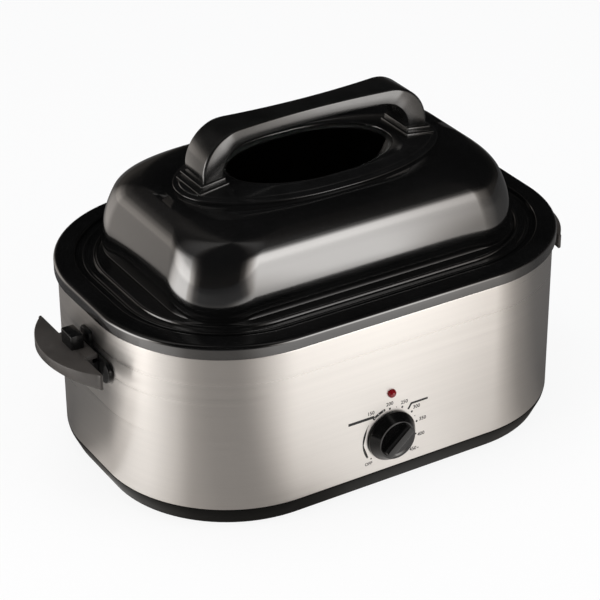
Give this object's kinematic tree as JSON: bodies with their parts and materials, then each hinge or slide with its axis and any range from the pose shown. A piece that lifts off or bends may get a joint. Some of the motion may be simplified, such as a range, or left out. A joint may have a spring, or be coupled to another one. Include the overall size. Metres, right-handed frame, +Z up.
{
  "type": "electric roaster oven",
  "caption": "Countertop electric roaster: steel housing with a thermostat knob, lift-out enamelled pan and wire rack, and a lift-off domed lid with an oval window and arched handle.",
  "frame": {"origin": "on the floor, under the middle of the part's overall box", "axes": "+X to the right along the length as seen from the knob side, +Y towards the back, +Z up; the knob faces -Y"},
  "size_m": [0.632, 0.385, 0.3732],
  "materials": {
    "black_moulding": "gloss",
    "brushed_housing": "brushed",
    "black_enamel_well": "gloss",
    "mica_band": "matte",
    "glass_wool": "matte",
    "bright_sheet": "satin",
    "zinc_posts": "satin",
    "zinc_screws": "satin",
    "foot_rubber": "matte",
    "zinc_foot_screws": "satin",
    "thermostat_ceramic": "matte",
    "zinc_bracket": "satin",
    "zinc_nut": "satin",
    "copper_tube": "satin",
    "copper_bulb": "satin",
    "red_lens": "gloss",
    "white_holder": "matte",
    "white_block": "matte",
    "white_cutoff": "matte",
    "gland_rubber": "matte",
    "grip_moulding": "satin",
    "black_plate": "gloss",
    "zinc_bolts": "satin",
    "steel_shaft": "satin",
    "black_knob": "gloss",
    "spring_steel": "satin",
    "black_enamel_pan": "gloss",
    "chromed_wire": "polished",
    "black_enamel_lid": "gloss",
    "frame_moulding": "gloss",
    "gasket_rubber": "matte",
    "window_glass": "clear",
    "handle_moulding": "gloss",
    "collar_moulding": "gloss",
    "zinc_handle_screws": "satin"
  },
  "bodies": {
    "base": {"base_tray": "black_moulding", "outer_shell": "brushed_housing", "heating_well": "black_enamel_well", "heating_band": "mica_band", "insulation_blanket": "glass_wool", "bottom_shield": "bright_sheet", "well_posts": "zinc_posts", "base_screws": "zinc_screws", "rubber_feet": "foot_rubber", "foot_screws": "zinc_foot_screws", "thermostat": "thermostat_ceramic", "thermostat_bracket": "zinc_bracket", "thermostat_nut": "zinc_nut", "capillary_tube": "copper_tube", "sensor_bulb": "copper_bulb", "lamp_lens": "red_lens", "lamp_holder": "white_holder", "terminal_block": "white_block", "thermal_cutoff": "white_cutoff", "cord_gland": "gland_rubber", "left_handle": "grip_moulding", "right_handle": "grip_moulding", "left_handle_plate": "black_plate", "right_handle_plate": "black_plate", "side_handle_bolts": "zinc_bolts"},
    "knob": {"control_knob": "black_knob", "knob_clip": "spring_steel", "thermostat_shaft": "steel_shaft"},
    "pan": {"roasting_pan": "black_enamel_pan"},
    "rack": {"roasting_rack": "chromed_wire", "rack_handles": "chromed_wire"},
    "lid": {"lid_dome": "black_enamel_lid", "window_frame": "frame_moulding", "window_gasket": "gasket_rubber", "window_glass": "window_glass", "lid_handle": "handle_moulding", "handle_collars": "collar_moulding", "handle_screws": "zinc_handle_screws"}
  },
  "joints": [
    {"name": "knob_turn", "type": "hinge", "parent": "base", "child": "knob", "pos_m": [-0.009, -0.17295, 0.065], "axis": [0, 1, 0], "range_deg": [0, 265.3]},
    {"name": "pan_lift", "type": "slide", "parent": "base", "child": "pan", "axis": [0, 0, 1], "range_m": [0, 0.18]},
    {"name": "rack_lift", "type": "slide", "parent": "pan", "child": "rack", "axis": [0, 0, 1], "range_m": [0, 0.18]},
    {"name": "lid_lift", "type": "slide", "parent": "rack", "child": "lid", "axis": [0, 0, 1], "range_m": [0, 0.15]}
  ]
}
